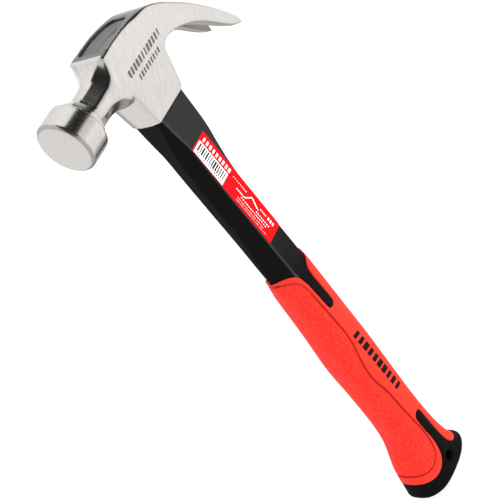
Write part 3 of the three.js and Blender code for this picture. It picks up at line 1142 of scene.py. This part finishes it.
@dataclass
class Handle:
    """The moulded jacket and the grip sleeve over it."""

    form: HandleForm
    facet_light_fade: tuple[float, float] = (165.0, 250.0)
    jacket_step: float = 0.6
    sleeve_step: float = 0.54

    def build_jacket(self, plastic: bpy.types.Material) -> bpy.types.Object:
        """Meshes the jacket and paints light on its upper side facets and a highlight along their front
        edges.

        Args:
            plastic: Its finish.

        Returns:
            The finished piece.
        """
        low, high = np.array([8.0, -15.0, -2.0]), np.array([74.0, 15.0, 286.0])
        points, faces = surface_of(self.form.jacket, low, high, self.jacket_step)
        piece = mesh_object("moulded_jacket", to_frame(points, 0.0), faces, plastic)
        x, y, z = points.T
        front, rear = self.form.side_facet(z)
        above = z > self.form.land_merge[0]
        inward = np.minimum(x - front, rear - x)
        # Painted light: the upper side facets are painted greyer than the front facets.
        paint(piece, "panel", above * ramp(z, *self.facet_light_fade) * ramp(inward, -0.4, 0.4))
        ridge = np.hypot(x - front, np.abs(y) - self.form.shaft_half)
        # Painted highlight along the side facets' front edges.
        paint(piece, "edge", above * ramp(ridge, 0.66, 0.11))
        return piece

    def build_sleeve(self, rubber: bpy.types.Material) -> bpy.types.Object:
        """Meshes the sleeve, marks its palm panel, and paints shade in the groove round it.

        Args:
            rubber: Its finish.

        Returns:
            The finished piece.
        """
        low, high = np.array([8.0, -15.0, 6.0]), np.array([74.0, 15.0, 190.0])
        points, faces = surface_of(self.form.sleeve, low, high, self.sleeve_step)
        piece = mesh_object("elastomer_sleeve", to_frame(points, 0.0), faces, rubber)
        in_front = [(-20, 44), (-20, 182)]
        outline = np.vstack([self.form.palm_path(), in_front])
        panel = outline_distance(outline, points[:, 0], points[:, 2])
        # The palm mask carries the pebble texture and the panel's deeper red, which is painted shade.
        paint(piece, "palm", ramp(panel, 0.0, -0.6))
        # Painted shade: the groove round the palm panel is darkened.
        paint(piece, "crease_shade", ramp(np.abs(panel), 0.825, 0.275))
        return piece


# ---------------------------------------------------------------- label and marks
class BarRow:
    """Geometry Nodes tree that lays a row of flat bars of varied width along X."""

    def __init__(self) -> None:
        """Builds the tree with its named inputs."""
        self.tree = bpy.data.node_groups.new("bar_row", "GeometryNodeTree")
        panel = self.tree.interface
        self.sockets: dict[str, str] = {}
        for name, kind in (
            ("Count", "NodeSocketInt"),
            ("Pitch", "NodeSocketFloat"),
            ("Bar Width", "NodeSocketFloat"),
            ("Bar Height", "NodeSocketFloat"),
            ("Thickness", "NodeSocketFloat"),
            ("Least Width", "NodeSocketFloat"),
            ("Seed", "NodeSocketInt"),
            ("Ink", "NodeSocketMaterial"),
        ):
            socket = panel.new_socket(name=name, in_out="INPUT", socket_type=kind)
            self.sockets[name] = socket.identifier
        panel.new_socket(name="Geometry", in_out="OUTPUT", socket_type="NodeSocketGeometry")
        given = add_node(self.tree, "NodeGroupInput").outputs
        pitch = add_node(self.tree, "ShaderNodeCombineXYZ", {"X": given["Pitch"]})
        line = add_node(
            self.tree, "GeometryNodeMeshLine", {"Count": given["Count"], "Offset": pitch.outputs[0]}
        )
        size = add_node(
            self.tree,
            "ShaderNodeCombineXYZ",
            {"X": given["Bar Width"], "Y": given["Thickness"], "Z": given["Bar Height"]},
        )
        bar = add_node(
            self.tree, "GeometryNodeMeshCube", {"Size": size.outputs[0], "Vertices X": 3, "Vertices Z": 6}
        )
        width = add_node(
            self.tree,
            "FunctionNodeRandomValue",
            {2: given["Least Width"], 3: 1.0, "Seed": given["Seed"]},
            data_type="FLOAT",
        )
        scale = add_node(self.tree, "ShaderNodeCombineXYZ", {"X": width.outputs[1], "Y": 1.0, "Z": 1.0})
        row = add_node(
            self.tree,
            "GeometryNodeInstanceOnPoints",
            {"Points": line.outputs[0], "Instance": bar.outputs[0], "Scale": scale.outputs[0]},
        )
        solid = add_node(self.tree, "GeometryNodeRealizeInstances", {0: row.outputs[0]})
        inked = add_node(
            self.tree, "GeometryNodeSetMaterial", {"Geometry": solid.outputs[0], "Material": given["Ink"]}
        )
        add_node(self.tree, "NodeGroupOutput", {0: inked.outputs[0]})

    def lay(self, values: dict[str, object]) -> tuple[np.ndarray, np.ndarray]:
        """Lays one row.

        Args:
            values: The tree's inputs by name, in millimetres.

        Returns:
            The row's points in millimetres, and its faces.
        """
        blank = bpy.data.objects.new("bar_row", bpy.data.meshes.new("bar_row"))
        bpy.context.scene.collection.objects.link(blank)
        modifier = blank.modifiers.new("bars", "NODES")
        modifier.node_group = self.tree
        for name, value in values.items():
            modifier[self.sockets[name]] = value
        depsgraph = bpy.context.evaluated_depsgraph_get()
        mesh = bpy.data.meshes.new_from_object(blank.evaluated_get(depsgraph), depsgraph=depsgraph)
        points = np.empty(len(mesh.vertices) * 3)
        mesh.vertices.foreach_get("co", points)
        faces = np.array([list(face.vertices) for face in mesh.polygons])
        bpy.data.objects.remove(blank)
        bpy.data.meshes.remove(mesh)
        return points.reshape(-1, 3), faces


@dataclass(frozen=True)
class Bars:
    """One printed or etched row, laid along the handle or along the head.

    It begins at `start`, in x and z. `least` is the narrowest bar's share of the full width, and `lean`
    is how far a bar's top slants along the row for each unit of its height.
    """

    start: tuple[float, float]
    count: int
    pitch: float
    width: float
    height: float
    least: float = 1.0
    seed: int = 0
    lean: float = 0.0
    along_handle: bool = True


@dataclass
class Marks:
    """A set of bar rows wrapped on to a surface as one piece."""

    rows: list[Bars]
    thickness: float = 0.1
    lift: float = 0.03

    def build(
        self, name: str, bar_row: BarRow, depth_at: DepthAt, ink: bpy.types.Material, base_z: float
    ) -> bpy.types.Object:
        """Lays the rows and wraps them on to the near side.

        Args:
            name: The piece's name.
            bar_row: The tree that lays a row.
            depth_at: Gives the surface's distance from the middle plane at each x and z.
            ink: The rows' finish.
            base_z: The level that heights are counted from.

        Returns:
            The finished piece.
        """
        points, faces, total = [], [], 0
        for row in self.rows:
            laid, quads = bar_row.lay(
                {
                    "Count": row.count,
                    "Pitch": row.pitch,
                    "Bar Width": row.width,
                    "Bar Height": row.height,
                    "Thickness": self.thickness,
                    "Least Width": row.least,
                    "Seed": row.seed,
                    "Ink": ink,
                }
            )
            laid[:, 0] += row.lean * laid[:, 2]
            along, out, across = laid.T
            x, z = (across, -along) if row.along_handle else (along, across)
            x, z = x + row.start[0], z + row.start[1]
            points.append(np.stack([x, out - depth_at(x, z) - self.lift, z], axis=1))
            faces.append(quads + total)
            total += len(laid)
        piece = mesh_object(name, to_frame(np.vstack(points), base_z), np.vstack(faces), ink)
        piece.data.shade_flat()
        return piece


@dataclass
class SideLabel:
    """Printed film on the near side facet of the shaft."""

    left: float = 45.4
    right: float = 57.6
    top: float = 262.8
    bottom: float = 196.6
    face: float = 9.0
    thickness: float = 0.12
    corner: float = 0.8
    lift: float = 0.02

    def build_film(self, vinyl: bpy.types.Material) -> bpy.types.Object:
        """Makes the film with small round corners.

        Args:
            vinyl: Its finish.

        Returns:
            The finished piece.
        """
        corner = self.corner
        inner = [
            (self.right - corner, self.top - corner, 0),
            (self.left + corner, self.top - corner, 90),
            (self.left + corner, self.bottom + corner, 180),
            (self.right - corner, self.bottom + corner, 270),
        ]
        rim = np.array([point for x, z, turn in inner for point in half_turn(x, z, corner, turn, turn + 90)])
        count = len(rim)
        near = np.column_stack([rim[:, 0], np.full(count, -self.face - self.thickness), rim[:, 1]])
        far = near + np.array([0.0, self.thickness - self.lift, 0.0])
        mesh = bpy.data.meshes.new("label_film")
        sides = [(i, count + i, count + (i + 1) % count, (i + 1) % count) for i in range(count)]
        caps = [tuple(reversed(range(count))), tuple(range(count, 2 * count))]
        mesh.from_pydata(to_frame(np.vstack([near, far]), 0.0).tolist(), [], sides + caps)
        mesh.materials.append(vinyl)
        piece = bpy.data.objects.new("label_film", mesh)
        bpy.context.scene.collection.objects.link(piece)
        return piece


# ---------------------------------------------------------------- studio
@dataclass
class Studio:
    """White cove, one soft light, dark and grey cards for the steel to mirror, and the camera.

    Each flag is a long dark strip beside the head: where it starts and ends along X in metres, and the
    angles of its long edges about the bell's axis. Strips overlap, so no light shows between them.
    """

    aim: tuple[float, float, float] = (-0.0306, -0.0164, 0.2118)
    distance: float = 0.560
    azimuth: float = -37.47
    elevation: float = 32.64
    roll: float = -40.44
    lens: float = 86.4
    sensor: float = 36.0
    floor_reach: float = 6.0
    floor_colour: str = "#A8A8A8"
    floor_glow: float = 1.75
    flag_reach: float = 1.2
    flag_colour: str = "#0A0A0A"
    flags: tuple[tuple[float, float, float, float], ...] = (
        (-6.0, -0.1, 84.0, 165.0),
        (-0.8, 1.6, 110.0, 160.0),
        (1.0, 6.0, 88.0, 165.0),
    )
    grey_patch: tuple[float, float, float, float] = (-0.12, -0.10, 0.60, 0.70)
    grey_colour: str = "#A2A2A2"
    pale_patch: tuple[float, float, float, float] = (-0.80, -0.50, -0.12, 0.10)
    pale_colour: str = "#DCDCDC"
    patch_height: float = 0.0004
    glow: tuple[float, float] = (1.05, 1.6)
    key_place: tuple[float, float, float] = (0.75, -1.1, 0.75)
    key_side: float = 0.9
    key_power: float = 12.0

    def camera(self) -> None:
        """Places the camera and makes it the scene's own."""
        azimuth, elevation, roll = (math.radians(a) for a in (self.azimuth, self.elevation, self.roll))
        level = Vector((math.cos(azimuth), math.sin(azimuth), 0.0))
        outward = Vector((math.sin(azimuth), -math.cos(azimuth), 0.0))
        back = math.cos(elevation) * outward + Vector((0.0, 0.0, math.sin(elevation)))
        upright = back.cross(level)
        right = math.cos(roll) * level + math.sin(roll) * upright
        up = math.cos(roll) * upright - math.sin(roll) * level
        data = bpy.data.cameras.new("camera")
        data.lens = self.lens
        data.sensor_width = self.sensor
        data.clip_start = 0.01
        data.clip_end = 50.0
        camera = bpy.data.objects.new("camera", data)
        bpy.context.scene.collection.objects.link(camera)
        turn = Matrix((right, up, back)).transposed().to_4x4()
        camera.matrix_world = Matrix.Translation(Vector(self.aim) + back * self.distance) @ turn
        bpy.context.scene.camera = camera

    def card(
        self, name: str, corners: list[tuple[float, float, float]], colour: str, glow: float = 0.0
    ) -> bpy.types.Object:
        """Makes a flat stage card.

        Args:
            name: Its name.
            corners: Its corners in metres.
            colour: Its colour.
            glow: How strongly it shines by itself.

        Returns:
            The card.
        """
        material, tree = new_material(name)
        shader = add_node(
            tree,
            "ShaderNodeBsdfPrincipled",
            {
                "Base Color": linear(colour),
                "Roughness": 1.0,
                "Specular IOR Level": 0.0,
                "Emission Color": linear(colour),
                "Emission Strength": glow,
            },
        )
        add_node(tree, "ShaderNodeOutputMaterial", {"Surface": shader.outputs["BSDF"]})
        mesh = bpy.data.meshes.new(name)
        mesh.from_pydata(corners, [], [tuple(range(len(corners)))])
        mesh.materials.append(material)
        card = bpy.data.objects.new(name, mesh)
        bpy.context.scene.collection.objects.link(card)
        card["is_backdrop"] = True
        return card

    def build(self) -> None:
        """Sets the camera, the floor, the cards, the sky and the light."""
        self.camera()
        bpy.context.scene.view_settings.view_transform = "Standard"
        reach = self.floor_reach
        floor = [(-reach, -reach, 0), (reach, -reach, 0), (reach, reach, 0), (-reach, reach, 0)]
        self.card("floor", floor, self.floor_colour, self.floor_glow)
        cards = [
            self.card("grey_card", self.patch(*self.grey_patch), self.grey_colour),
            self.card("pale_card", self.patch(*self.pale_patch), self.pale_colour),
        ]
        for left, right, low, high in self.flags:
            cards.append(self.card("dark_flag", self.strip(left, right, low, high), self.flag_colour))
        for card in cards:
            card.visible_camera = False
            card.visible_diffuse = False
            card.visible_shadow = False
        self.sky()
        self.softbox()

    def strip(self, left: float, right: float, low: float, high: float) -> list[tuple[float, float, float]]:
        """Corners of a flat strip that runs level beside the head.

        Args:
            left: Where it starts along X, in metres.
            right: Where it ends.
            low: Angle of one long edge about the bell's axis, in degrees from +Y.
            high: Angle of the other edge.

        Returns:
            Its four corners.
        """
        edges = []
        for angle in (math.radians(low), math.radians(high)):
            y = self.flag_reach * math.cos(angle)
            z = AXIS_Z * MM + self.flag_reach * math.sin(angle)
            edges.append((y, z))
        (y0, z0), (y1, z1) = edges
        return [(left, y0, z0), (right, y0, z0), (right, y1, z1), (left, y1, z1)]

    def patch(self, left: float, near: float, right: float, far: float) -> list[tuple[float, float, float]]:
        """Corners of a rectangle laid just above the floor, between two places in metres."""
        height = self.patch_height
        return [(left, near, height), (right, near, height), (right, far, height), (left, far, height)]

    def sky(self) -> None:
        """Makes a white cove that brightens towards its top."""
        world = bpy.data.worlds.new("white_cove")
        world.use_nodes = True
        tree = world.node_tree
        tree.nodes.clear()
        place = add_node(tree, "ShaderNodeTexCoord")
        parts = add_node(tree, "ShaderNodeSeparateXYZ", {0: place.outputs["Generated"]})
        glow = add_node(
            tree,
            "ShaderNodeMapRange",
            {"Value": parts.outputs["Z"], "To Min": self.glow[0], "To Max": self.glow[1]},
        )
        white = add_node(
            tree, "ShaderNodeBackground", {"Color": linear("#FFFFFF"), "Strength": glow.outputs[0]}
        )
        add_node(tree, "ShaderNodeOutputWorld", {"Surface": white.outputs[0]})
        bpy.context.scene.world = world

    def softbox(self) -> None:
        """Adds the square soft light that faces the hammer, and that nothing mirrors."""
        data = bpy.data.lights.new("key", "AREA")
        data.size = self.key_side
        data.energy = self.key_power
        data.use_shadow = False
        light = bpy.data.objects.new("key", data)
        bpy.context.scene.collection.objects.link(light)
        light.location = self.key_place
        facing = Vector(self.key_place) - Vector(self.aim)
        light.rotation_euler = facing.to_track_quat("Z", "Y").to_euler()
        light.visible_glossy = False


# ---------------------------------------------------------------- assembly
def build_marks(head: ForgedHead, form: HandleForm, label: SideLabel) -> None:
    """Adds the plain print on the label, the etching on the cheek and the mark on the grip.

    Args:
        head: The forging, for its cheek.
        form: The handle's form, for the grip's surface.
        label: The label.
    """
    bar_row = BarRow()
    white, black = WHITE_INK.material(), BLACK_INK.material()

    def label_face(x: np.ndarray, z: np.ndarray) -> np.ndarray:
        """Depth of the label's outer face at each x and z."""
        return np.full(x.shape, label.face + label.thickness + label.lift)

    def cheek_face(x: np.ndarray, z: np.ndarray) -> np.ndarray:
        """Depth of the drafted cheek at each x and z."""
        return head.cheek_half + head.draft * np.minimum(z, 0.0)

    def grip_face(x: np.ndarray, z: np.ndarray) -> np.ndarray:
        """Depth of the sleeve's crowned side at each x and z, found by small steps along its field."""
        step_share, steps = 0.8, 12
        y = np.full(x.shape, form.shaft_half)
        for _ in range(steps):
            y = y - form.grip(x, y, z) * step_share
        return y

    patch = Marks([Bars((49.1, 250.2), 1, 1.0, 23.4, 6.8)])
    hand_over(patch.build("barcode_patch", bar_row, label_face, white, 0.0))
    code = Marks(
        [
            Bars((49.7, 260.2), 14, 1.55, 1.15, 4.4, least=0.35, seed=4),
            Bars((46.7, 259.4), 12, 1.7, 0.9, 0.7, least=0.5, seed=6),
        ],
        thickness=0.2,
    )
    hand_over(code.build("barcode_bars", bar_row, label_face, black, 0.0))
    print_rows = Marks(
        [
            Bars((54.6, 259.8), 9, 2.6, 1.6, 2.2, seed=2, least=0.6),
            Bars((54.3, 235.0), 8, 1.5, 0.9, 0.4, least=0.5, seed=1),
            Bars((53.1, 221.4), 1, 1.0, 0.9, 3.6, lean=1.1),
            Bars((53.8, 216.3), 1, 1.0, 2.0, 2.1, lean=-3.0),
            Bars((51.2, 230.0), 5, 1.4, 0.9, 0.6, least=0.6, seed=3),
            Bars((51.3, 213.0), 8, 1.5, 0.9, 0.7, least=0.6, seed=7),
            Bars((54.2, 211.4), 4, 1.4, 1.0, 0.6, least=0.6, seed=9),
            Bars((54.2, 204.6), 3, 2.0, 1.2, 1.5, least=0.8, seed=5),
            Bars((49.8, 225.0), 14, 1.6, 1.2, 0.45, least=0.5, seed=11),
            Bars((48.2, 226.0), 7, 3.3, 3.2, 0.16, least=0.8, seed=12),
            Bars((46.9, 226.0), 8, 3.3, 3.2, 0.14, least=0.8, seed=13),
        ]
    )
    hand_over(print_rows.build("label_print", bar_row, label_face, white, 0.0))
    etched = Marks(
        [
            Bars((44.4, -1.0), 12, 2.5, 1.6, 3.3, lean=0.25, least=0.4, seed=3, along_handle=False),
            Bars((48.4, -6.2), 9, 2.2, 1.3, 2.5, lean=0.25, least=0.4, seed=5, along_handle=False),
        ]
    )
    steel = EtchedSteel().material()
    hand_over(etched.build("etched_bars", bar_row, cheek_face, steel, AXIS_Z))
    grip_mark = Marks([Bars((48.6, 119.0), 10, 5.0, 3.9, 5.2, lean=0.3, least=0.6, seed=8)])
    hand_over(grip_mark.build("grip_bars", bar_row, grip_face, black, 0.0))


def main() -> None:
    """Builds the hammer and the studio, and reports each piece."""
    logging.basicConfig(level=logging.INFO, format="%(message)s", stream=sys.stdout)
    Studio().build()
    head, form = ForgedHead(), HandleForm()
    forging = head.build(SatinForgedSteel().material())
    hand_over(forging, "hammer_head")
    resin = EyeResin(head).build(EPOXY.material())
    hand_over(resin, "eye_resin")
    handle = Handle(form)
    jacket = handle.build_jacket(POLYPROPYLENE.material())
    hand_over(jacket, "handle_jacket")
    sleeve = handle.build_sleeve(GrainedElastomer().material())
    hand_over(sleeve, "grip_sleeve")
    label = SideLabel()
    film = label.build_film(LABEL_FILM.material())
    hand_over(film, "side_label")
    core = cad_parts["fibreglass_core"]
    core.data.materials.clear()
    core.data.materials.append(PultrudedFibreglass().material())
    build_marks(head, form, label)
    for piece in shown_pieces():
        LOG.info("%s: %d faces", piece.name, len(piece.data.polygons))


if __name__ == "__main__":
    main()
